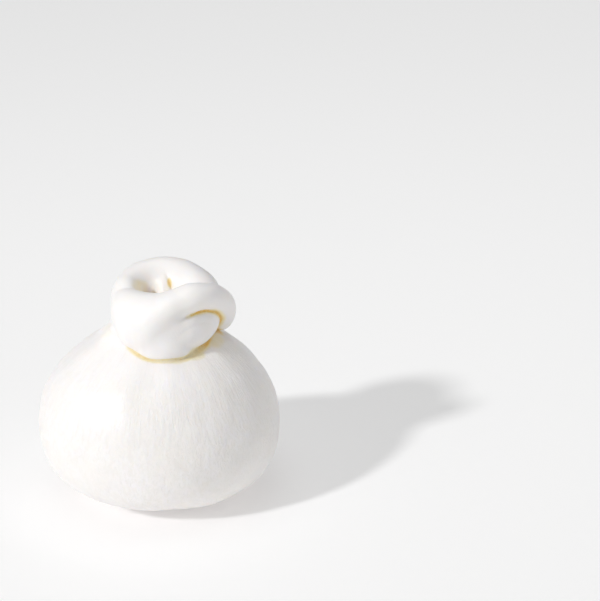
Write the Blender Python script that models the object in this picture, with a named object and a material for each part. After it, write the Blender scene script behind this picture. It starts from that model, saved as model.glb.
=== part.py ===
"""A burrata: a pouch of stretched curd whose neck is tied in one fat knot.

The pouch sits flat on the floor. The origin is on the floor under the middle of the
whole outline, +Z is up, and -Y is the side where the strand's end looks out of the knot.
Dimensions are in millimetres and are turned into metres when a mesh is made.
"""

import math
from typing import NamedTuple

import bmesh
import bpy
from mathutils import Matrix, Vector

MM = 0.001

# ---- Pouch (mm) ----------------------------------------------------------------------
POUCH_RADIUS = 41.8  # half the width of the pouch at its widest ring
POUCH_DEPTH_SHARE = 0.93  # front to back the pouch is this much of its width
WAIST_HEIGHT = 28.0  # height of the widest ring above the floor
BELLY_DROP = 28.3  # how far the belly would reach down if the floor didn't flatten it
BELLY_FULLNESS = 2.65  # 2 is an ellipse, more is a squarer belly
BELLY_SLUMP = 4.6  # the soft bottom settles this far to +X of the widest ring
BELLY_TUCK = 0.10  # front to back the flat bottom's share of its width is less by this
WAIST_SWELL = 0.4  # the -X side of the widest ring stands out this much further
# (height above the waist, share of POUCH_RADIUS, how much further the -X side stands out)
SHOULDER = (
    (5.5, 0.978, 0.7),
    (11.5, 0.924, 1.4),
    (17.5, 0.837, 1.9),
    (22.5, 0.737, 2.1),
    (27.5, 0.594, 2.6),
    (31.0, 0.462, 3.0),
    (34.0, 0.385, 3.3),
    (38.0, 0.330, 2.4),
    (41.0, 0.240, 0.8),
    (42.6, 0.060, 0.0),
)
NECK_TOP = 42.6  # height of the neck's closed top above the waist, inside the knot
NECK_LEAN = 2.6  # the neck stands this far to +X of the widest ring

# ---- Gathers in the skin round the neck ------------------------------------------------
GATHER_DEPTH = 0.55  # how far the skin waves in and out beside the knot
GATHER_REACH = 24.0  # the waves die out this far below the neck
GATHER_WAVES = ((9, 0.55, 0.4), (14, 0.45, 2.1))  # (waves round, share of depth, phase)

# ---- Resolution ----------------------------------------------------------------------
POUCH_SIDES = 80
BELLY_RINGS = 13
STRAND_SIDES = 24
RINGS_PER_SPAN = 4


class Station(NamedTuple):
    """One place on a strand's centre line, with the half width and half height there."""

    x: float
    y: float
    z: float
    across: float
    upright: float


# The strand that crosses over: it leaves the cheek at the left, thins as it climbs to the
# right along the front, and turns down round the outside of the other strand.
OVER_STRAND = (
    Station(-9.6, 3.4, 68.0, 5.2, 7.4),
    Station(-10.2, -2.8, 69.6, 5.8, 7.8),
    Station(-8.0, -7.8, 70.6, 7.2, 7.8),
    Station(-3.8, -11.0, 71.2, 7.8, 7.4),
    Station(1.6, -12.6, 72.4, 7.2, 6.8),
    Station(6.8, -13.0, 75.2, 6.0, 5.3),
    Station(11.6, -12.6, 77.2, 5.0, 4.9),
    Station(15.8, -10.4, 76.8, 4.8, 4.6),
    Station(19.4, -7.0, 74.6, 4.6, 4.6),
    Station(21.8, -3.4, 71.0, 4.4, 4.6),
    Station(22.8, 0.0, 67.8, 4.2, 4.6),
    Station(22.0, 2.6, 64.2, 4.4, 4.8),
    Station(19.2, 4.2, 60.6, 4.6, 5.0),
)

# The strand that crosses under: from the left round the back, down under the other one,
# and out again at the front right as a blunt lobe that ends in the cheek.
UNDER_STRAND = (
    Station(-8.6, -5.0, 67.0, 5.4, 8.0),
    Station(-10.0, 0.4, 69.8, 5.4, 8.8),
    Station(-9.6, 6.4, 70.8, 5.8, 9.0),
    Station(-5.4, 11.8, 71.9, 7.2, 9.5),
    Station(2.0, 13.8, 72.4, 7.7, 9.8),
    Station(8.6, 12.0, 72.6, 8.2, 9.4),
    Station(13.6, 6.8, 71.0, 8.3, 8.6),
    Station(14.4, 0.2, 68.8, 7.4, 7.4),
    Station(13.8, -6.6, 66.8, 7.0, 7.6),
    Station(10.4, -11.0, 65.6, 7.6, 8.2),
    Station(4.6, -11.8, 64.8, 8.4, 8.4),
    Station(-1.0, -10.0, 64.4, 8.0, 8.0),
)

# The fold that hangs from the back of the loop into its hollow.
TONGUE = (
    Station(1.2, 13.0, 76.6, 2.8, 2.6),
    Station(1.8, 10.0, 77.0, 3.0, 2.6),
    Station(2.6, 6.8, 75.2, 3.0, 2.6),
    Station(3.4, 4.6, 71.6, 3.0, 2.6),
    Station(4.0, 3.4, 66.0, 3.2, 2.6),
)

# The broad cheek that both strands leave: (centre, half sizes) of its two round masses.
CHEEK = ((-1.8, -11.2, 68.2), (12.8, 9.4, 10.2))
CHIN = ((2.4, -9.8, 63.4), (12.6, 11.0, 11.0))


def smooth_through(points, per_span):
    """Points on a Catmull-Rom curve through the given ones, ends included."""
    padded = [2 * points[0] - points[1], *points, 2 * points[-1] - points[-2]]
    made = []
    for before, start, end, after in zip(padded, padded[1:], padded[2:], padded[3:]):
        slope = end - before
        bend = 2 * before - 5 * start + 4 * end - after
        twist = 3 * start - before - 3 * end + after
        for step in range(per_span):
            t = step / per_span
            made.append(start + 0.5 * (slope * t + bend * t**2 + twist * t**3))
    made.append(points[-1].copy())
    return made


def object_from(name, mesh_data):
    mesh = bpy.data.meshes.new(name)
    mesh_data.to_mesh(mesh)
    mesh_data.free()
    made = bpy.data.objects.new(name, mesh)
    bpy.context.scene.collection.objects.link(made)
    return made


def close_rings(mesh_data, rings):
    """Bridges each ring of vertices to the next and closes both ends."""
    sides = len(rings[0])
    for lower, upper in zip(rings, rings[1:]):
        for i in range(sides):
            j = (i + 1) % sides
            mesh_data.faces.new((lower[i], lower[j], upper[j], upper[i]))
    mesh_data.faces.new(list(reversed(rings[0])))
    mesh_data.faces.new(rings[-1])
    bmesh.ops.recalc_face_normals(mesh_data, faces=mesh_data.faces)


def pouch_profile():
    """(radius, height, swell) from the rim of the flat base up to the closed neck."""
    belly = []
    for step in range(BELLY_RINGS):
        drop = WAIST_HEIGHT * math.cos(0.5 * math.pi * step / BELLY_RINGS)
        share = 1 - (drop / BELLY_DROP) ** BELLY_FULLNESS
        radius = POUCH_RADIUS * share ** (1 / BELLY_FULLNESS)
        swell = WAIST_SWELL * (1 - drop / WAIST_HEIGHT) ** 2
        belly.append((radius, WAIST_HEIGHT - drop, swell))
    outline = [Vector((POUCH_RADIUS, WAIST_HEIGHT, WAIST_SWELL))]
    for rise, share, swell in SHOULDER:
        outline.append(Vector((POUCH_RADIUS * share, WAIST_HEIGHT + rise, swell)))
    return belly + [tuple(point) for point in smooth_through(outline, 3)]


def gather(height, azimuth):
    """How far the skin stands out or in at this place beside the knot."""
    below_neck = WAIST_HEIGHT + NECK_TOP - 8.0 - height
    fade = max(0.0, min(1.0, 1 - below_neck / GATHER_REACH))
    wave = sum(share * math.cos(count * azimuth + phase) for count, share, phase in GATHER_WAVES)
    return GATHER_DEPTH * fade**1.5 * wave


def pouch_point(radius, height, swell, azimuth):
    drop = max(0.0, WAIST_HEIGHT - height) / WAIST_HEIGHT
    rise = max(0.0, height - WAIST_HEIGHT) / NECK_TOP
    aside = BELLY_SLUMP * drop**4 + NECK_LEAN * rise**3
    toward_swell = max(0.0, -math.cos(azimuth)) ** 2
    radius += gather(height, azimuth) + swell * toward_swell
    x = radius * math.cos(azimuth) + aside
    y = radius * math.sin(azimuth) * (POUCH_DEPTH_SHARE - BELLY_TUCK * drop**2)
    return Vector((x, y, height))


def make_pouch():
    mesh_data = bmesh.new()
    rings = []
    for radius, height, swell in pouch_profile():
        ring = []
        for i in range(POUCH_SIDES):
            azimuth = 2 * math.pi * i / POUCH_SIDES
            point = pouch_point(radius, height, swell, azimuth)
            ring.append(mesh_data.verts.new(point * MM))
        rings.append(ring)
    close_rings(mesh_data, rings)
    return object_from("burrata", mesh_data)


def make_strand(name, stations):
    """A tube of elliptical rings along the stations, with both ends rounded off."""
    line = smooth_through([Vector((s.x, s.y, s.z)) for s in stations], RINGS_PER_SPAN)
    sizes = smooth_through([Vector((s.across, s.upright)) for s in stations], RINGS_PER_SPAN)
    mesh_data = bmesh.new()
    rings = []
    upright = Vector((0.0, 0.0, 1.0))
    last = len(line) - 1
    for place, (centre, size) in enumerate(zip(line, sizes)):
        ahead = (line[min(place + 1, last)] - line[max(place - 1, 0)]).normalized()
        upright = (upright - ahead * upright.dot(ahead)).normalized()
        across = ahead.cross(upright)
        from_end = min(1.0, 0.12 + min(place, last - place) / RINGS_PER_SPAN)
        rounding = math.sqrt(1 - (1 - from_end) ** 2)
        ring = []
        for i in range(STRAND_SIDES):
            turn = 2 * math.pi * i / STRAND_SIDES
            out = across * size.x * math.cos(turn) + upright * size.y * math.sin(turn)
            ring.append(mesh_data.verts.new((centre + out * rounding) * MM))
        rings.append(ring)
    close_rings(mesh_data, rings)
    return object_from(name, mesh_data)


def make_mass(name, centre, half_sizes):
    mesh_data = bmesh.new()
    stretch = Matrix.Diagonal((*(Vector(half_sizes) * MM), 1.0))
    place = Matrix.Translation(Vector(centre) * MM) @ stretch
    bmesh.ops.create_uvsphere(mesh_data, u_segments=32, v_segments=20, radius=1.0, matrix=place)
    return object_from(name, mesh_data)


def join_into(target, pieces):
    """One closed solid: the target with all the pieces joined to it."""
    knot = bpy.data.collections.new("knot")
    bpy.context.scene.collection.children.link(knot)
    for piece in pieces:
        knot.objects.link(piece)
        bpy.context.scene.collection.objects.unlink(piece)
    join = target.modifiers.new("tie", "BOOLEAN")
    join.operation = "UNION"
    join.operand_type = "COLLECTION"
    join.collection = knot
    join.solver = "EXACT"
    with bpy.context.temp_override(object=target, active_object=target):
        bpy.ops.object.modifier_apply(modifier=join.name)
    for piece in pieces:
        bpy.data.objects.remove(piece)
    bpy.data.collections.remove(knot)


def centre_on_origin(target):
    """Moves the solid so that the middle of its outline is over the origin."""
    corners = [Vector(corner) for corner in target.bound_box]
    low = Vector([min(corner[k] for corner in corners) for k in range(3)])
    high = Vector([max(corner[k] for corner in corners) for k in range(3)])
    middle = (low + high) / 2
    target.data.transform(Matrix.Translation((-middle.x, -middle.y, -low.z)))


def curd_material():
    material = bpy.data.materials.new("stretched_curd")
    material.use_nodes = True
    shader = material.node_tree.nodes["Principled BSDF"]
    shader.inputs["Base Color"].default_value = (0.88, 0.85, 0.79, 1.0)
    shader.inputs["Roughness"].default_value = 0.35
    shader.inputs["Metallic"].default_value = 0.0
    return material


def main():
    for old in list(bpy.data.objects):
        bpy.data.objects.remove(old)
    burrata = make_pouch()
    pieces = [
        make_strand("over_strand", OVER_STRAND),
        make_strand("under_strand", UNDER_STRAND),
        make_strand("tongue", TONGUE),
        make_mass("cheek", *CHEEK),
        make_mass("chin", *CHIN),
    ]
    join_into(burrata, pieces)
    centre_on_origin(burrata)
    burrata.data.materials.clear()
    burrata.data.materials.append(curd_material())
    burrata.data.shade_smooth()
    burrata.data.set_sharp_from_angle(angle=math.radians(50))


main()
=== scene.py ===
import math

import bmesh
import bpy
import numpy as np
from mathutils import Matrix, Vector, noise
from mathutils.bvhtree import BVHTree
from mathutils.kdtree import KDTree


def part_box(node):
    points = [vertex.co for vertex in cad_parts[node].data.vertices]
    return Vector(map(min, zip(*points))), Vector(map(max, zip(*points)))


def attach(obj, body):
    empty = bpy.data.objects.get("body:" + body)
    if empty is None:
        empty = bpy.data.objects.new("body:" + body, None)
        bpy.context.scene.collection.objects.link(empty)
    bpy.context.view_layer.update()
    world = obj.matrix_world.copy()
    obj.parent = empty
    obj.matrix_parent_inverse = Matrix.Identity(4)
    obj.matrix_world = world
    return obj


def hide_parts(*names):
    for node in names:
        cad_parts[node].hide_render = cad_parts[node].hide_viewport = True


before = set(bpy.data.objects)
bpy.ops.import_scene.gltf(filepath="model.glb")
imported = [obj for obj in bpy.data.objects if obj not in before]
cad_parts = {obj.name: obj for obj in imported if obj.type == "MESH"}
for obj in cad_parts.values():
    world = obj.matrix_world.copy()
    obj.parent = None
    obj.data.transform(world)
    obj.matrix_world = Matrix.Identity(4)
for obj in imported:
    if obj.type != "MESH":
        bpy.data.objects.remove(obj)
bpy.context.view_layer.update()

mm = 0.001


def hexToLinear(hexColour):
    # sRGB hex to the linear numbers that shaders take
    channels = [int(hexColour[i : i + 2], 16) / 255 for i in (1, 3, 5)]
    linear = [c / 12.92 if c <= 0.04045 else ((c + 0.055) / 1.055) ** 2.4 for c in channels]
    return (*linear, 1.0)


def addNode(tree, kind, settings=None, **inputs):
    # adds a node, sets it, and fills or links its sockets: _0 is a socket's number,
    # and in a socket's name underscores stand for spaces
    node = tree.nodes.new(kind)
    for name, value in (settings or {}).items():
        setattr(node, name, value)
    for name, value in inputs.items():
        socket = node.inputs[int(name[1:])] if name[1:].isdigit() else node.inputs[name.replace("_", " ")]
        if isinstance(value, bpy.types.NodeSocket):
            tree.links.new(value, socket)
        else:
            socket.default_value = value
    return node


def deselectAll():
    if bpy.context.object and bpy.context.object.mode != "OBJECT":
        bpy.ops.object.mode_set(mode="OBJECT")
    bpy.ops.object.select_all(action="DESELECT")


def makeActive(piece):
    deselectAll()
    piece.select_set(True)
    bpy.context.view_layer.objects.active = piece


def applyModifier(piece, name, kind, **settings):
    makeActive(piece)
    modifier = piece.modifiers.new(name, kind)
    for key, value in settings.items():
        setattr(modifier, key, value)
    bpy.ops.object.modifier_apply(modifier=modifier.name)


def readPoints(piece):
    # the piece's points, one row each, in mm
    points = np.empty(len(piece.data.vertices) * 3)
    piece.data.vertices.foreach_get("co", points)
    return points.reshape(-1, 3) / mm


def writePoints(piece, points):
    piece.data.vertices.foreach_set("co", (points * mm).ravel())
    piece.data.update()


def readNormals(piece):
    normals = np.empty(len(piece.data.vertices) * 3)
    piece.data.vertices.foreach_get("normal", normals)
    return normals.reshape(-1, 3)


def ramp(values, start, full):
    # 0 up to start, 1 from full on, evenly in between
    return np.clip((values - start) / (full - start), 0, 1)


def ease(share):
    # turns an even rise from 0 to 1 into one with soft ends
    return share**2 * (3 - 2 * share)


def smoothThrough(points, perSpan):
    # a Catmull-Rom curve through all the points, rows of an array
    points = np.asarray(points, float)
    padded = np.vstack([2 * points[0] - points[1], points, 2 * points[-1] - points[-2]])
    made = []
    for before, start, end, after in zip(padded, padded[1:], padded[2:], padded[3:]):
        slope = end - before
        bend = 2 * before - 5 * start + 4 * end - after
        twist = 3 * start - before - 3 * end + after
        for t in np.arange(perSpan) / perSpan:
            made.append(start + 0.5 * (slope * t + bend * t**2 + twist * t**3))
    made.append(points[-1])
    return np.array(made)


def pullRings(name, rings):
    # starts from a circle and extrudes it ring by ring, then closes both ends
    deselectAll()
    bpy.ops.mesh.primitive_circle_add(vertices=len(rings[0]), radius=mm)
    piece = bpy.context.object
    piece.name = name
    bpy.ops.object.mode_set(mode="EDIT")
    bpy.ops.mesh.select_all(action="SELECT")
    for place, ring in enumerate(rings):
        if place:
            bpy.ops.mesh.extrude_region_move()
        made = bmesh.from_edit_mesh(piece.data)
        chosen = [corner for corner in made.verts if corner.select]
        for corner, spot in zip(chosen, ring):
            corner.co = Vector(spot) * mm
        bmesh.update_edit_mesh(piece.data)
        if place in (0, len(rings) - 1):
            bpy.ops.mesh.edge_face_add()
        if place == 0:
            # the cap stays behind: only its rim goes on to the next ring
            bpy.ops.mesh.select_all(action="DESELECT")
            bpy.ops.mesh.select_non_manifold()
    bpy.ops.mesh.select_all(action="SELECT")
    bpy.ops.mesh.normals_make_consistent(inside=False)
    bpy.ops.object.mode_set(mode="OBJECT")
    return piece


def meltPlaces(piece, points, places, passes):
    # smooths the skin around each place, given as its middle and its reach in mm
    softness = np.zeros(len(points))
    for middle, reach in places:
        near = np.clip(1 - np.linalg.norm(points - middle, axis=1) / reach, 0, 1)
        softness = np.maximum(softness, ease(near))
    soft = piece.vertex_groups.new(name="soft")
    steps = np.round(softness * 20) / 20
    for step in np.unique(steps[steps > 0]):
        soft.add(np.nonzero(steps == step)[0].tolist(), float(step), "REPLACE")
    applyModifier(piece, "melt", "SMOOTH", factor=0.5, iterations=passes, vertex_group="soft")
    piece.vertex_groups.clear()


# the pouch: a ball of curd that has settled on the table, gathered up into its neck; all in mm
pouch = {
    "radius": 41.8,
    "depthShare": 0.93,  # front to back against side to side
    "waistHeight": 28.0,
    "bellyDrop": 28.3,
    "bellyFullness": 2.65,
    "bellySlump": 4.6,  # the soft bottom settles this far to the right
    "bellyTuck": 0.10,  # and loses this share of its width from front to back
    "waistSwell": 0.4,  # the left side stands out this much further
    "neckTop": 42.6,
    "neckLean": 2.6,
    # height above the waist, share of the radius, how much further the left side stands out
    "shoulder": [
        (0.0, 1.0, 0.4), (5.5, 0.978, 0.7), (11.5, 0.924, 1.4), (17.5, 0.837, 1.9),
        (22.5, 0.737, 2.1), (27.5, 0.594, 2.6), (31.0, 0.462, 3.0), (34.0, 0.385, 3.3),
        (38.0, 0.330, 2.4), (41.0, 0.240, 0.8), (42.6, 0.060, 0.0),
    ],
    "gatherDepth": 0.55,
    "gatherTop": 9.1,  # under the neck's top the gathers are full
    "gatherReach": 24.0,
    "gatherWaves": [(9, 0.55, 0.4), (14, 0.45, 2.1)],  # waves round, share, phase
    "sides": 200,
    "bellyRings": 34,
    "shoulderRings": 12,  # from one row of the shoulder to the next
}


def pouchLean(height):
    # how far down from the waist, as a share, and how far the middle leans to the right
    drop = np.clip(pouch["waistHeight"] - height, 0, None) / pouch["waistHeight"]
    rise = np.clip(height - pouch["waistHeight"], 0, None) / pouch["neckTop"]
    return drop, pouch["bellySlump"] * drop**4 + pouch["neckLean"] * rise**3


def pouchRings():
    waist = pouch["waistHeight"]
    belly = []
    for step in range(pouch["bellyRings"]):
        drop = waist * math.cos(0.5 * math.pi * step / pouch["bellyRings"])
        share = 1 - (drop / pouch["bellyDrop"]) ** pouch["bellyFullness"]
        radius = pouch["radius"] * share ** (1 / pouch["bellyFullness"])
        belly.append((radius, waist - drop, pouch["waistSwell"] * (1 - drop / waist) ** 2))
    rise, share, swell = np.array(pouch["shoulder"]).T
    rows = np.stack([share * pouch["radius"], waist + rise, swell], 1)
    # the second row mirrored under the waist makes the curve start upright
    mirrored = rows[1] * (1, -1, 1) + (0, 2 * waist, 0)
    upper = smoothThrough([mirrored, *rows], pouch["shoulderRings"])[pouch["shoulderRings"] :]
    turn = np.linspace(0, 2 * np.pi, pouch["sides"], endpoint=False)
    wave = sum(share * np.cos(count * turn + phase) for count, share, phase in pouch["gatherWaves"])
    toLeft = np.clip(-np.cos(turn), 0, None) ** 2
    rings = []
    for radius, height, swell in [*belly, *upper]:
        drop, aside = pouchLean(height)
        belowGathers = waist + pouch["neckTop"] - pouch["gatherTop"] - height
        fade = min(1.0, max(0.0, 1 - belowGathers / pouch["gatherReach"]))
        wide = radius + pouch["gatherDepth"] * fade**1.5 * wave + swell * toLeft
        deep = wide * (pouch["depthShare"] - pouch["bellyTuck"] * drop**2)
        rings.append(np.stack([wide * np.cos(turn) + aside, deep * np.sin(turn), 0 * turn + height], 1))
    return rings


pouchSkin = pullRings("pouchSkin", pouchRings())
print("pouch:", len(pouchSkin.data.vertices), "points")

# the knot: one strand laid over the other, round a hollow
knot = {
    # each row: x, y, z of the strand's middle, then its half width and half height, in mm
    "overStrand": [
        (-9.6, 3.4, 68.0, 5.2, 7.4), (-10.2, -2.8, 69.6, 5.8, 7.8), (-8.0, -7.8, 70.6, 7.2, 7.8),
        (-3.8, -11.0, 71.2, 7.8, 7.4), (1.6, -12.6, 72.4, 7.2, 6.8), (6.8, -13.0, 75.2, 6.0, 5.3),
        (11.6, -12.6, 77.2, 5.0, 4.9), (15.8, -10.4, 76.8, 4.8, 4.6), (19.4, -7.0, 74.6, 4.6, 4.6),
        (21.8, -3.4, 71.0, 4.4, 4.6), (22.8, 0.0, 67.8, 4.2, 4.6), (22.0, 2.6, 64.2, 4.4, 4.8),
        (19.2, 4.2, 60.6, 4.6, 5.0),
    ],
    "underStrand": [
        (-8.6, -5.0, 67.0, 5.4, 8.0), (-10.0, 0.4, 69.8, 5.4, 8.8), (-9.6, 6.4, 70.8, 5.8, 9.0),
        (-5.4, 11.8, 71.9, 7.2, 9.5), (2.0, 13.8, 72.4, 7.7, 9.8), (8.6, 12.0, 72.6, 8.2, 9.4),
        (13.6, 6.8, 71.0, 8.3, 8.6), (14.4, 0.2, 68.8, 7.4, 7.4), (13.8, -6.6, 66.8, 7.0, 7.6),
        (10.4, -11.0, 65.6, 7.6, 8.2), (4.6, -11.8, 64.8, 8.4, 8.4), (-1.0, -10.0, 64.4, 8.0, 8.0),
    ],
    "tongue": [
        (1.2, 13.0, 76.6, 2.8, 2.6), (1.8, 10.0, 77.0, 3.0, 2.6), (2.6, 6.8, 75.2, 3.0, 2.6),
        (3.4, 4.6, 71.6, 3.0, 2.6), (4.0, 3.4, 66.0, 3.2, 2.6),
    ],
    "cheek": ((-1.8, -11.2, 68.2), (12.8, 9.4, 10.2)),  # middle, half sizes
    "chin": ((2.4, -10.0, 62.6), (12.6, 11.0, 11.0)),
    "sides": 56,
    "ringsPerSpan": 9,
    "massSegments": 72,
    "massRings": 48,
}


def strandFrames(stations):
    # middle, half sizes and the two directions across the strand, ring by ring
    line = smoothThrough(stations, knot["ringsPerSpan"])
    middle, size = line[:, :3], line[:, 3:]
    ahead = np.gradient(middle, axis=0)
    ahead /= np.linalg.norm(ahead, axis=1)[:, None]
    upright = np.zeros_like(middle)
    last = np.array([0.0, 0.0, 1.0])
    for i, way in enumerate(ahead):
        last = last - way * last.dot(way)
        last /= np.linalg.norm(last)
        upright[i] = last
    across = np.cross(ahead, upright)
    run = np.concatenate([[0], np.cumsum(np.linalg.norm(np.diff(middle, axis=0), axis=1))])
    return middle, size, across, upright, run


def makeStrand(name, stations):
    middle, size, across, upright, run = strandFrames(stations)
    turn = np.linspace(0, 2 * np.pi, knot["sides"], endpoint=False)
    sideways, upward = np.cos(turn)[:, None], np.sin(turn)[:, None]
    count = len(middle)
    rings = []
    for i in range(count):
        fromEnd = min(1.0, 0.05 + min(i, count - 1 - i) / knot["ringsPerSpan"])
        rounding = math.sqrt(1 - (1 - fromEnd) ** 2)  # both ends close like a fingertip
        out = sideways * across[i] * size[i, 0] + upward * upright[i] * size[i, 1]
        rings.append(middle[i] + out * rounding)
    return pullRings(name, rings)


def makeMass(name, middle, halfSizes):
    deselectAll()
    bpy.ops.mesh.primitive_uv_sphere_add(
        segments=knot["massSegments"], ring_count=knot["massRings"], radius=1.0, location=Vector(middle) * mm
    )
    piece = bpy.context.object
    piece.name = name
    bpy.ops.object.mode_set(mode="EDIT")
    bpy.ops.mesh.select_all(action="SELECT")
    bpy.ops.transform.resize(value=tuple(Vector(halfSizes) * mm), center_override=Vector(middle) * mm)
    bpy.ops.object.mode_set(mode="OBJECT")
    bpy.ops.object.transform_apply(location=True, rotation=True, scale=True)
    return piece


knotPieces = [
    makeStrand("overStrand", knot["overStrand"]),
    makeStrand("underStrand", knot["underStrand"]),
    makeStrand("tongueFold", knot["tongue"]),
    makeMass("cheekMass", *knot["cheek"]),
    makeMass("chinMass", *knot["chin"]),
]
print("knot:", sum(len(piece.data.vertices) for piece in knotPieces), "points")


def fromStrand(points, stations):
    # distance to the strand's own surface in mm, the turn round it and the run along it
    middle, size, across, upright, run = strandFrames(stations)
    gap = np.empty(len(points))
    turned = np.empty(len(points))
    along = np.empty(len(points))
    atOnce = 4000  # points, to spare memory
    for part in np.array_split(np.arange(len(points)), max(1, len(points) // atOnce)):
        nearest = ((points[part][:, None, :] - middle[None, :, :]) ** 2).sum(2).argmin(1)
        toward = points[part] - middle[nearest]
        sideways = (toward * across[nearest]).sum(1)
        upward = (toward * upright[nearest]).sum(1)
        share = np.hypot(sideways / size[nearest, 0], upward / size[nearest, 1])
        reach = np.hypot(sideways, upward)
        beyond = np.sqrt(np.maximum((toward**2).sum(1) - reach**2, 0))
        over = reach - reach / np.maximum(share, 1e-6)
        atEnd = (nearest < 2) | (nearest > len(middle) - 3)
        gap[part] = np.where(atEnd, over + beyond, over)
        turned[part] = np.arctan2(upward / size[nearest, 1], sideways / size[nearest, 0])
        along[part] = run[nearest]
    return gap, turned, along


def fromMass(points, middle, halfSizes):
    toward = points - np.array(middle)
    share = np.linalg.norm(toward / np.array(halfSizes), axis=1)
    return np.linalg.norm(toward, axis=1) * (1 - 1 / np.maximum(share, 1e-6))


# the knot's skin: its masses melt into each other, and a line stays where strand lies on strand
knotSkin = {
    "voxel": 0.34,  # mm between its points
    "evenPasses": 6,  # light smoothing all over
    "softPasses": 420,  # more of it where two masses melt into each other
    "softPlaces": [
        ((0.5, -19.5, 72.5), 7.5), ((5.7, -19.2, 69.5), 5.5), ((2.0, -19.8, 66.5), 8.0),
        ((-6.0, -18.5, 66.0), 9.0), ((-12.0, -14.0, 69.0), 9.0), ((-16.0, -5.0, 70.0), 8.0),
        ((7.5, -19.5, 66.0), 5.0), ((-8.0, -16.5, 72.0), 8.0),
        ((-0.5, 8.0, 77.5), 5.0), ((-1.5, 5.0, 74.0), 4.5), ((-4.5, 0.5, 74.0), 5.5),
    ],
    "foldDepth": 0.32,  # mm
    "foldWidth": 0.55,
    "foldReach": 1.5,  # mm off both masses, past which there is no line
    "foldFrom": (8.5, 12.5),  # mm to the right where the front fold starts and is full
    "tongueFoldFrom": (3.0, 5.0),  # only the tongue's right side has a line
}


def foldLine(points, upperGap, lowerGap, startAndFull):
    # 1 on the line where one mass lies on another, fading to both sides and to the left
    line = np.exp(-(((upperGap - lowerGap) / knotSkin["foldWidth"]) ** 2))
    line *= np.maximum(upperGap, lowerGap) < knotSkin["foldReach"]
    return line * ramp(points[:, 0], *startAndFull)


makeActive(knotPieces[0])
for piece in knotPieces[1:]:
    piece.select_set(True)
bpy.ops.object.join()
knotPiece = bpy.context.object
knotPiece.name = "knotPiece"
applyModifier(
    knotPiece, "fuse", "REMESH", mode="VOXEL", voxel_size=knotSkin["voxel"] * mm, use_smooth_shade=True
)
applyModifier(knotPiece, "even", "SMOOTH", factor=0.5, iterations=knotSkin["evenPasses"])

points = readPoints(knotPiece)
meltPlaces(knotPiece, points, knotSkin["softPlaces"], knotSkin["softPasses"])
strandNames = ("overStrand", "underStrand", "tongue")
overGap, underGap, tongueGap = [fromStrand(points, knot[name])[0] for name in strandNames]
cheekGap, chinGap = [fromMass(points, *knot[name]) for name in ("cheek", "chin")]
lowerGap = np.minimum.reduce([underGap, cheekGap, chinGap])
fold = np.maximum(
    foldLine(points, overGap, lowerGap, knotSkin["foldFrom"]),
    foldLine(points, tongueGap, lowerGap, knotSkin["tongueFoldFrom"]),
)
points = readPoints(knotPiece)
writePoints(knotPiece, points - readNormals(knotPiece) * (knotSkin["foldDepth"] * fold)[:, None])
print("knot skin:", len(points), "points")

# knot and pouch are one curd, tied in at the neck; all in mm
tie = {
    "sliver": 0.03,  # points of the join closer than this become one
    "lineDepth": 0.26,  # the neck is pulled in this far under the knot
    "lineWidth": 0.6,
    "lineFadesLeft": (-12.5, -8.5),  # further left the skin runs smoothly into the knot
    "lineAbove": 50.0,  # heights between which the line is looked for
    "lineBelow": 66.0,  # so that it isn't drawn down in the hollow
    "farAway": 99.0,
    "softPasses": 160,
    "softPlaces": [((-14.5, -6.0, 61.5), 6.5), ((-12.5, -11.5, 61.0), 4.5), ((-13.0, 3.0, 61.0), 6.0)],
}

# each side of the join gets a colour of its own for a while, to find the line between them
sideColours = [bpy.data.materials.new(name) for name in ("pouchSide", "knotSide")]
for piece, colour in zip((pouchSkin, knotPiece), sideColours):
    piece.data.materials.append(colour)
makeActive(pouchSkin)
applyModifier(
    pouchSkin, "tie", "BOOLEAN", operation="UNION", object=knotPiece, solver="EXACT", material_mode="TRANSFER"
)
deselectAll()
knotPiece.select_set(True)
bpy.ops.object.delete()
burrata = pouchSkin
burrata.name = "burrataSkin"
burrata.data.name = "burrataSkin"

# the join leaves slivers along its line, and points in the middle of an edge
makeActive(burrata)
bpy.ops.object.mode_set(mode="EDIT")
bpy.ops.mesh.select_all(action="SELECT")
bpy.ops.mesh.remove_doubles(threshold=tie["sliver"] * mm)
bpy.ops.mesh.dissolve_degenerate(threshold=tie["sliver"] * mm)
bpy.ops.mesh.select_all(action="DESELECT")
made = bmesh.from_edit_mesh(burrata.data)
for corner in made.verts:
    corner.select_set(len(corner.link_edges) == 2)
bmesh.update_edit_mesh(burrata.data)
bpy.ops.mesh.dissolve_verts()
bpy.ops.object.mode_set(mode="OBJECT")


def sortPoints(piece):
    # the points whose faces come from both sides, and for every point whether it is the knot's
    made = bmesh.new()
    made.from_mesh(piece.data)
    line = [v.co / mm for v in made.verts if len({face.material_index for face in v.link_faces}) > 1]
    onKnot = np.array([all(face.material_index == 1 for face in v.link_faces) for v in made.verts])
    made.free()
    return line, onKnot


line, onKnot = sortPoints(burrata)
nearby = KDTree(len(line))
for index, spot in enumerate(line):
    nearby.insert(spot, index)
nearby.balance()
points = readPoints(burrata)
fromLine = np.full(len(points), tie["farAway"])
for index in np.nonzero(points[:, 2] > tie["lineAbove"])[0]:
    fromLine[index] = nearby.find(Vector(points[index]))[2]
held = ramp(points[:, 0], *tie["lineFadesLeft"]) * (points[:, 2] < tie["lineBelow"])
tieLine = np.exp(-((fromLine / tie["lineWidth"]) ** 2)) * held
writePoints(burrata, points - readNormals(burrata) * (tie["lineDepth"] * tieLine)[:, None])
meltPlaces(burrata, points, tie["softPlaces"], tie["softPasses"])
print("joined:", len(burrata.data.vertices), "points, line of", len(line))

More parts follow.
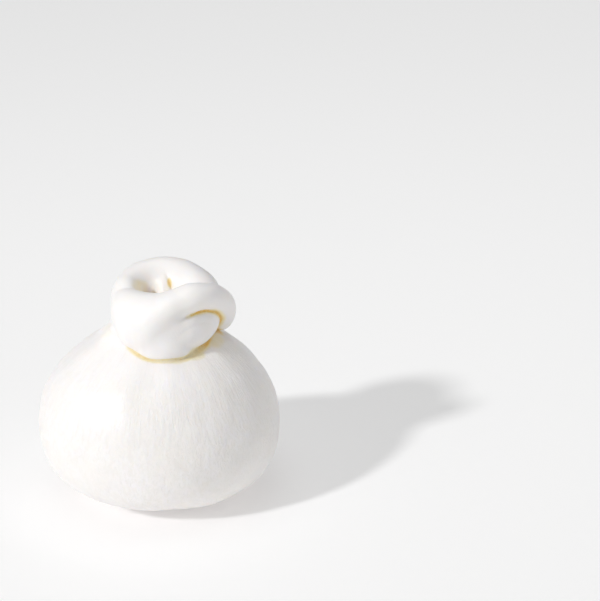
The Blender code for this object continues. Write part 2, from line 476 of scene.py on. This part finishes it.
# The curd's fibres run up the pouch to the neck and along each strand. Each point gets
# its place round the fibre's own axis, in mm, and its place along it.
pull = {
    "shortBelow": 36.0,  # mm above the floor: the skin was stretched less down there
    "shortening": 1.2,
    "knotFrom": 55.0,  # mm above the floor
    "strandReach": 1.8,  # mm off a strand that still counts as the strand
    "strandRadius": 8.0,  # mm, the turn round a strand is laid out on it
    "strandStep": 100.0,  # mm, so that no two strands look alike
}


def pullDirections(points):
    drop, aside = pouchLean(points[:, 2])
    angle = np.arctan2(points[:, 1] / pouch["depthShare"], points[:, 0] - aside)
    along = points[:, 2] - pull["shortening"] * np.clip(pull["shortBelow"] - points[:, 2], 0, None)
    fibre = np.stack([np.cos(angle) * pouch["radius"], np.sin(angle) * pouch["radius"], along], 1)
    high = np.nonzero(points[:, 2] > pull["knotFrom"])[0]
    best = np.full(len(high), pull["strandReach"])
    for order, name in enumerate(strandNames):
        gap, turned, along = fromStrand(points[high], knot[name])
        closer = gap < best
        best[closer] = gap[closer]
        chosen = high[closer]
        fibre[chosen, 0] = np.cos(turned[closer]) * pull["strandRadius"] + pull["strandStep"] * (order + 1)
        fibre[chosen, 1] = np.sin(turned[closer]) * pull["strandRadius"]
        fibre[chosen, 2] = along[closer]
    return fibre


points = readPoints(burrata)
fibre = pullDirections(points)
print("pull directions done")

# relief of the skin, in mm
relief = {
    # the soft filling shows through as broad lumps, with finer ones among them
    "lumpSize": 15.0, "lumpDepth": 0.38, "fineLumps": 2.3, "fineShare": 0.5, "fineShift": (9, 4, 1),
    "bundleWidth": 3.2, "bundleLength": 34.0, "bundleDepth": 0.07,  # bundles of pulled fibres
    # a soft ridge down the front, a little to the left, which sways a few degrees on its way
    "ridgeAzimuth": -110.0, "ridgeSway": 1.5, "ridgeSwayLength": 5.0,
    "ridgeTop": (56.0, 49.0), "ridgeFoot": (36.0, 45.0),  # heights where it starts and is full
    "ridgeHeight": 0.45, "ridgeWidth": 5.0, "ridgeCrest": 0.7,
    # the front of the knot has a soft edge, and the lobe to the right of it is flatter
    "edgeFrom": (7.0, -18.3, 80.5), "edgeTo": (-8.5, -18.0, 61.0), "edgeHeight": 0.9, "edgeWidth": 3.4,
    "flatPlace": (12.5, -15.5, 66.5), "flatReach": (8.0, 7.0, 7.5), "flatDepth": 2.0,
    "flatFromStrand": (0.2, 4.2),  # off the strand that lies over it
    "footHeight": 6.0,  # the underside stays flat, and relief is full from here up
}


def skinLumps(spot, pulled):
    # lumps of the filling and bundles of fibres at one point
    lump = noise.noise(Vector(spot) / relief["lumpSize"])
    fine = Vector(spot) / relief["lumpSize"] * relief["fineLumps"] + Vector(relief["fineShift"])
    lump += relief["fineShare"] * noise.noise(fine)
    stretched = Vector((pulled[0], pulled[1], pulled[2] * relief["bundleWidth"] / relief["bundleLength"]))
    bundle = noise.noise(stretched / relief["bundleWidth"])
    return relief["lumpDepth"] * lump + relief["bundleDepth"] * bundle


def ridgeHeights(points):
    angle = np.degrees(np.arctan2(points[:, 1] / pouch["depthShare"], points[:, 0]))
    sway = relief["ridgeSway"] * np.sin(points[:, 2] / relief["ridgeSwayLength"])
    across = np.radians(angle - relief["ridgeAzimuth"] - sway) * np.hypot(points[:, 0], points[:, 1])
    along = ease(ramp(points[:, 2], *relief["ridgeTop"])) * ease(ramp(points[:, 2], *relief["ridgeFoot"]))
    off = np.hypot(across, relief["ridgeCrest"]) - relief["ridgeCrest"]
    return relief["ridgeHeight"] * along * np.exp(-off / relief["ridgeWidth"])


def knotFrontHeights(points, overGap):
    edge = np.array(relief["edgeTo"]) - relief["edgeFrom"]
    place = np.clip((points - relief["edgeFrom"]) @ edge / edge.dot(edge), 0, 1)
    off = np.linalg.norm(points - relief["edgeFrom"] - place[:, None] * edge, axis=1)
    raised = relief["edgeHeight"] * np.exp(-((off / relief["edgeWidth"]) ** 2)) * 4 * place * (1 - place)
    off = np.linalg.norm((points - relief["flatPlace"]) / relief["flatReach"], axis=1)
    flattened = relief["flatDepth"] * np.exp(-(off**2)) * ramp(overGap, *relief["flatFromStrand"])
    return raised - flattened * (points[:, 1] < 0)


overGap = fromStrand(points, knot["overStrand"])[0]
heights = np.array([skinLumps(spot, pulled) for spot, pulled in zip(points, fibre)])
heights += ridgeHeights(points) + knotFrontHeights(points, overGap)
heights *= ramp(points[:, 2], 0.0, relief["footHeight"])
points = points + readNormals(burrata) * heights[:, None]
points[:, 2] = np.maximum(points[:, 2], 0.0)
target = np.array(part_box("burrata")) / mm
middleNow = (points.min(0) + points.max(0)) / 2
points[:, :2] += ((target[0] + target[1]) / 2 - middleNow)[:2]
writePoints(burrata, points)
print("relief done")

# where cream gathers and where shade falls, painted as one cream-to-gold tint: in hollows, along the line
# under the knot, in the fold and where it seeps out
creamAndShadePlaces = {
    # hollows are felt for with rays out of the skin, and the more closed a hollow the more painted shade it
    # gets: mm above the floor, number, mm
    "feelAbove": 46.0, "feelers": 20, "feelReach": 5.0, "feelStart": 0.15,
    "feelSpread": 0.94, "feelFade": 0.6,
    # along the line under the knot, cream and the painted shade of the crease, there is more of it further to
    # the right, and it runs further down the pouch
    "lineSides": (4.0, 11.0), "lineReach": (1.3, 3.0), "lineAmount": (0.24, 0.32), "lineReachOnKnot": 0.7,
    # towards the left it is held paler
    "paleSides": (1.0, 9.0), "paleMost": (0.50, 1.0),
    # it tints the skin beside the fold with cream and the painted shade of the crease
    "foldAmount": 0.38, "foldReach": 2.4, "foldFrom": (7.5, 11.5), "foldAbove": (61.0, 64.0),
    # and tints the inner flank of the strand over the lobe, cream and painted shade where it turns into the
    # fold
    "flankAmount": 0.68, "flankReach": 2.6, "flankFrom": (15.0, 20.0), "flankAbove": 61.0,
    "flankEdge": 0.2, "flankEnd": 5.0,
    # places where it seeps out, some of them also painted shade (under and right of the lobe, in the pocket
    # of the hollow, in the slit beside the tongue): middle and half sizes in mm, how much
    "seepsAndShade": [
        ((12.5, -15.5, 58.2), (7.0, 5.0, 4.0), 0.42),
        ((20.5, -6.5, 60.0), (8.0, 10.0, 5.5), 0.38),
        ((-16.0, -2.0, 62.0), (8.0, 9.0, 5.0), 0.29),
        ((-5.0, 1.0, 75.0), (10.0, 8.5, 7.0), 0.38),
        ((-4.5, -2.5, 73.5), (6.0, 4.0, 3.2), 0.52),
        ((4.9, 5.2, 75.5), (1.5, 2.6, 3.6), 0.56),
    ],
    "seepFullness": 1.6,
    "unevenness": 0.05, "unevenSize": 2.6,
}


def hollowness(piece, points, normals):
    # the share of directions out of the skin that meet skin again within reach
    bpy.context.view_layer.update()
    skin = BVHTree.FromObject(piece, bpy.context.evaluated_depsgraph_get())
    count = creamAndShadePlaces["feelers"]
    reach = creamAndShadePlaces["feelReach"] * mm
    steps = np.arange(count) + 0.5
    lift = np.sqrt(1 - steps / count * creamAndShadePlaces["feelSpread"])
    spin = math.pi * (1 + 5**0.5) * steps
    flat = np.sqrt(1 - lift**2)
    found = np.zeros(len(points))
    for i in np.nonzero(points[:, 2] > creamAndShadePlaces["feelAbove"])[0]:
        way = Vector(normals[i])
        side = way.orthogonal().normalized()
        other = way.cross(side)
        start = Vector(points[i]) * mm + way * creamAndShadePlaces["feelStart"] * mm
        closed = 0.0
        for k in range(count):
            aside = side * (flat[k] * math.cos(spin[k])) + other * (flat[k] * math.sin(spin[k]))
            distance = skin.ray_cast(start, way * lift[k] + aside, reach)[3]
            if distance is not None:
                closed += 1 - creamAndShadePlaces["feelFade"] * distance / reach
        found[i] = closed / count
    return found


def lineCreamAndShade(points):
    rightward = points[:, 0]
    onPouch = np.interp(rightward, creamAndShadePlaces["lineSides"], creamAndShadePlaces["lineReach"])
    reach = np.where(onKnot, creamAndShadePlaces["lineReachOnKnot"], onPouch)
    amount = np.interp(rightward, creamAndShadePlaces["lineSides"], creamAndShadePlaces["lineAmount"])
    return amount * np.exp(-fromLine / reach) * held


def foldCreamAndShade(points, overGap, lowerGap):
    foldGap = np.clip(np.maximum(overGap, lowerGap), 0, None)
    beside = ramp(points[:, 0], *creamAndShadePlaces["foldFrom"]) * ramp(points[:, 2], *creamAndShadePlaces["foldAbove"])
    creamShadeBesideFold = creamAndShadePlaces["foldAmount"] * np.exp(-foldGap / creamAndShadePlaces["foldReach"])
    return creamShadeBesideFold * beside * (points[:, 1] < 0)


def flankCreamAndShade(points, overGap, lowerGap):
    between = np.clip(lowerGap - overGap, 0, None)
    flank = np.exp(-((between / creamAndShadePlaces["flankReach"]) ** 2))
    flank *= ramp(points[:, 0], *creamAndShadePlaces["flankFrom"])
    flank *= (lowerGap > overGap - creamAndShadePlaces["flankEdge"]) & (lowerGap < creamAndShadePlaces["flankEnd"])
    flank *= (points[:, 1] < 0) & (points[:, 2] > creamAndShadePlaces["flankAbove"])
    return creamAndShadePlaces["flankAmount"] * flank


# the more closed a hollow, the more painted shade it gets, in the same cream and gold as seeping cream
hollow = hollowness(burrata, points, readNormals(burrata))
creamAndShade = hollow + lineCreamAndShade(points)
creamAndShade = np.minimum(creamAndShade, np.interp(points[:, 0], creamAndShadePlaces["paleSides"], creamAndShadePlaces["paleMost"]))
overGap = fromStrand(points, knot["overStrand"])[0]
lowerGap = np.minimum(fromStrand(points, knot["underStrand"])[0], fromMass(points, *knot["chin"]))
creamAndShade += foldCreamAndShade(points, overGap, lowerGap)
creamAndShade = np.maximum(creamAndShade, flankCreamAndShade(points, overGap, lowerGap))
for middle, halfSizes, amount in creamAndShadePlaces["seepsAndShade"]:
    share = np.linalg.norm((points - np.array(middle)) / np.array(halfSizes), axis=1)
    near = np.clip(creamAndShadePlaces["seepFullness"] * (1 - share), 0, 1)
    creamAndShade = np.maximum(creamAndShade, amount * ease(near))
uneven = [noise.noise(Vector(spot) / creamAndShadePlaces["unevenSize"]) for spot in points]
creamAndShade += creamAndShadePlaces["unevenness"] * np.array(uneven)
print("cream places done, most closed:", round(float(hollow.max()), 2))

# the fibres show on the pouch, less near the neck and hardly on the kneaded knot
fibreShow = {"atLine": 0.50, "onKnot": 0.10, "onPouch": 1.0, "lineReach": 2.5, "neckFade": (58.0, 44.0)}

apart = np.clip(fromLine / fibreShow["lineReach"], 0, 1)
belowNeck = ramp(points[:, 2], *fibreShow["neckFade"])
onPouch = fibreShow["atLine"] + (fibreShow["onPouch"] - fibreShow["atLine"]) * apart * belowNeck
shown = np.where(onKnot, fibreShow["atLine"] - (fibreShow["atLine"] - fibreShow["onKnot"]) * apart, onPouch)


def storeValues(piece, name, kind, key, values):
    made = piece.data.attributes.new(name, kind, "POINT")
    made.data.foreach_set(key, np.ascontiguousarray(values).ravel())


storeValues(burrata, "creamAndShade", "FLOAT", "value", creamAndShade)
storeValues(burrata, "fibre", "FLOAT_VECTOR", "vector", fibre)
storeValues(burrata, "fibreShow", "FLOAT", "value", shown)

# Fresh pulled curd (pasta filata), stretched by hand in hot water. It is milk-white and
# slightly see-through, with fine fibres along the pull and a wet film of whey that gives
# broad soft lights. Cream that seeps from the neck lies gold in the folds; the same cream and gold also paint
# the shade and warm glow in the folds and hollows.
curd = {
    "white": "#FEF8F7",
    "shadeWhite": "#FBF5F2",  # thicker fibre bundles let a little more warmth through
    "streak": "#F9F3F0",  # thinner skin between the fibres
    # cream and gold are seeping cream and, in hollows and creases, painted shade as well
    "creamAndShade": "#F8EAC2",
    "gold": "#F2D07C",
    "fibreWidth": 1.25,  # mm, drawn a little coarser than real fibres so that it shows
    "fibreLength": 5.5,
    "fibreRelief": 0.26,
    "streakFrom": (0.36, 0.60),
    "grainSize": 2.0,  # mm, the torn ends of fibres under the skin
    "grainRelief": 0.34,
    "grainShow": (0.65, 0.08),  # times fibreShow, and all over
    "patchSize": 22.0,  # mm, where the filling lies closer to the skin
    "patchFrom": (0.35, 0.70),
    "creamFrom": (0.22, 0.52),
    "goldFrom": (0.44, 0.68),
    "glossFrom": (0.30, 0.70),
    "roughness": (0.36, 0.48),  # a film of whey, wetter in some patches
    "glowDepth": 2.2,  # mm that light goes into the curd
}


def makeCurd():
    material = bpy.data.materials.new("pulledCurd")
    material.use_nodes = True
    tree = material.node_tree
    tree.nodes.clear()
    output = addNode(tree, "ShaderNodeOutputMaterial")
    place = addNode(tree, "ShaderNodeTexCoord")
    pulled = addNode(tree, "ShaderNodeAttribute", {"attribute_name": "fibre"})
    closed = addNode(tree, "ShaderNodeAttribute", {"attribute_name": "creamAndShade"})
    fibresShown = addNode(tree, "ShaderNodeAttribute", {"attribute_name": "fibreShow"})
    squeezed = addNode(
        tree, "ShaderNodeVectorMath", {"operation": "MULTIPLY"},
        _0=pulled.outputs["Vector"],
        _1=(1 / curd["fibreWidth"], 1 / curd["fibreWidth"], 1 / curd["fibreLength"]),
    )
    fibres = addNode(
        tree, "ShaderNodeTexNoise", {"noise_dimensions": "3D"},
        Vector=squeezed.outputs[0], Scale=1.0, Detail=3.0, Roughness=0.6, Distortion=0.9,
    )
    grain = addNode(
        tree, "ShaderNodeTexNoise", {"noise_dimensions": "3D"},
        Vector=place.outputs["Object"], Scale=1000 / curd["grainSize"], Detail=2.0, Roughness=0.5,
    )
    patches = addNode(
        tree, "ShaderNodeTexNoise", {"noise_dimensions": "3D"},
        Vector=place.outputs["Object"], Scale=1000 / curd["patchSize"], Detail=2.0, Roughness=0.5,
    )
    warmth = addNode(
        tree, "ShaderNodeMapRange", {"interpolation_type": "SMOOTHSTEP"},
        Value=patches.outputs["Fac"], From_Min=curd["patchFrom"][0], From_Max=curd["patchFrom"][1],
    )
    # streaks are the low places between the fibres
    streak = addNode(
        tree, "ShaderNodeMapRange", {"interpolation_type": "SMOOTHSTEP"},
        Value=fibres.outputs["Fac"], From_Min=curd["streakFrom"][0], From_Max=curd["streakFrom"][1],
        To_Min=1.0, To_Max=0.0,
    )
    streakShown = addNode(
        tree, "ShaderNodeMath", {"operation": "MULTIPLY"},
        _0=streak.outputs[0], _1=fibresShown.outputs["Fac"],
    )
    # how much cream and painted shade there is, and how much of it is gold
    creamShadeShare = addNode(
        tree, "ShaderNodeMapRange", {"interpolation_type": "SMOOTHSTEP"},
        Value=closed.outputs["Fac"], From_Min=curd["creamFrom"][0], From_Max=curd["creamFrom"][1],
    )
    goldShadeShare = addNode(
        tree, "ShaderNodeMapRange", {"interpolation_type": "SMOOTHSTEP"},
        Value=closed.outputs["Fac"], From_Min=curd["goldFrom"][0], From_Max=curd["goldFrom"][1],
    )
    # each colour lies over the ones before it; cream and gold also paint the shade in hollows and creases
    colour = hexToLinear(curd["white"])
    for share, name in ((warmth, "shadeWhite"), (streakShown, "streak"), (creamShadeShare, "creamAndShade"), (goldShadeShare, "gold")):
        layer = addNode(
            tree, "ShaderNodeMix", {"data_type": "RGBA"},
            _0=share.outputs[0], _6=colour, _7=hexToLinear(curd[name]),
        )
        colour = layer.outputs[2]
    fibreBump = addNode(
        tree, "ShaderNodeBump",
        Strength=fibresShown.outputs["Fac"], Distance=curd["fibreRelief"] * mm, Height=fibres.outputs["Fac"],
    )
    # the grain, too, shows on the pouch and hardly on the knot
    grainShown = addNode(
        tree, "ShaderNodeMath", {"operation": "MULTIPLY_ADD"},
        _0=fibresShown.outputs["Fac"], _1=curd["grainShow"][0], _2=curd["grainShow"][1],
    )
    grainBump = addNode(
        tree, "ShaderNodeBump", Strength=grainShown.outputs[0], Distance=curd["grainRelief"] * mm,
        Height=grain.outputs["Fac"], Normal=fibreBump.outputs[0],
    )
    gloss = addNode(
        tree, "ShaderNodeMapRange",
        Value=patches.outputs["Fac"], From_Min=curd["glossFrom"][0], From_Max=curd["glossFrom"][1],
        To_Min=curd["roughness"][0], To_Max=curd["roughness"][1],
    )
    # milk fat bends light like 1.40 to 1.46, and the film of whey a little more than water
    shader = addNode(
        tree, "ShaderNodeBsdfPrincipled",
        Base_Color=colour, Roughness=gloss.outputs[0], Normal=grainBump.outputs[0], IOR=1.40,
        Subsurface_Weight=0.6, Subsurface_Radius=(1.0, 0.88, 0.74), Subsurface_Scale=curd["glowDepth"] * mm,
        Coat_Weight=0.25, Coat_Roughness=0.36, Coat_IOR=1.34,
    )
    tree.links.new(shader.outputs[0], output.inputs["Surface"])
    return material


burrata.data.materials.clear()
for colour in sideColours:
    bpy.data.materials.remove(colour)
burrata.data.materials.append(makeCurd())
makeActive(burrata)
bpy.ops.object.shade_smooth()
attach(burrata, "root")
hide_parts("burrata")
print("material done")

# a light table with a sun from the front left and three big softboxes, in m, W and degrees
studio = {
    "floor": "#E6E6E6", "floorSize": 24.0, "floorGlow": 0.24,
    "keyFrom": (-0.711, -0.444, 0.545), "keyStrength": 1.76, "keyAngle": 5.0,
    "skyStrength": 0.31,
    # name, place, size, power
    "softboxes": [
        ("topSoftbox", (-0.05, -0.05, 0.75), 0.6, 1.28),
        ("frontSoftbox", (0.9, -2.7, 1.08), 2.16, 3.6),
        ("backSoftbox", (2.34, 0.72, 1.51), 1.8, 4.7),
    ],
    "aim": (0.0, 0.0, 0.040),
    "cameraDistance": 0.525, "cameraElevation": 25.0,
    "cameraYaw": 5.9177, "cameraPitch": 21.893, "lens": 90.0, "sensor": 36.0,  # lens and sensor in mm
}


def turnTo(way):
    # lights and cameras look down their own -Z
    return way.to_track_quat("-Z", "Y").to_euler()


deselectAll()
bpy.ops.mesh.primitive_plane_add(size=studio["floorSize"])
floor = bpy.context.object
floor.name = "floor"
# Milky acrylic sheet of a light table, cast and then matted: an even soft white without
# reflections, lit a little from below.
litAcrylic = bpy.data.materials.new("litAcrylic")
litAcrylic.use_nodes = True
sheet = litAcrylic.node_tree.nodes["Principled BSDF"]
sheet.inputs["Base Color"].default_value = hexToLinear(studio["floor"])
sheet.inputs["Roughness"].default_value = 0.9
sheet.inputs["Specular IOR Level"].default_value = 0.1
sheet.inputs["Emission Color"].default_value = (1.0, 1.0, 1.0, 1.0)
sheet.inputs["Emission Strength"].default_value = studio["floorGlow"]
floor.data.materials.append(litAcrylic)

keyLight = bpy.data.lights.new("keyLight", "SUN")
keyLight.energy = studio["keyStrength"]
keyLight.angle = math.radians(studio["keyAngle"])
key = bpy.data.objects.new("keyLight", keyLight)
key.rotation_euler = turnTo(-Vector(studio["keyFrom"]))
bpy.context.scene.collection.objects.link(key)

for name, place, size, power in studio["softboxes"]:
    light = bpy.data.lights.new(name, "AREA")
    light.size = size
    light.energy = power
    box = bpy.data.objects.new(name, light)
    box.location = place
    box.rotation_euler = turnTo(Vector(studio["aim"]) - Vector(place))
    bpy.context.scene.collection.objects.link(box)

sky = bpy.data.worlds.new("studioSky")
sky.use_nodes = True
background = sky.node_tree.nodes["Background"]
background.inputs["Color"].default_value = (1.0, 1.0, 1.0, 1.0)
background.inputs["Strength"].default_value = studio["skyStrength"]
bpy.context.scene.world = sky

cameraData = bpy.data.cameras.new("camera")
cameraData.lens = studio["lens"]
cameraData.sensor_width = studio["sensor"]
cameraData.clip_start = 0.01
camera = bpy.data.objects.new("camera", cameraData)
bpy.context.scene.collection.objects.link(camera)
elevation = math.radians(studio["cameraElevation"])
back = Vector((0, math.cos(elevation), -math.sin(elevation)))
camera.location = Vector(studio["aim"]) - studio["cameraDistance"] * back
yaw, pitch = math.radians(studio["cameraYaw"]), math.radians(studio["cameraPitch"])
look = Vector((math.sin(yaw) * math.cos(pitch), math.cos(yaw) * math.cos(pitch), -math.sin(pitch)))
camera.rotation_euler = turnTo(look)
bpy.context.scene.camera = camera
bpy.context.scene.view_settings.view_transform = "Standard"
print("studio done")
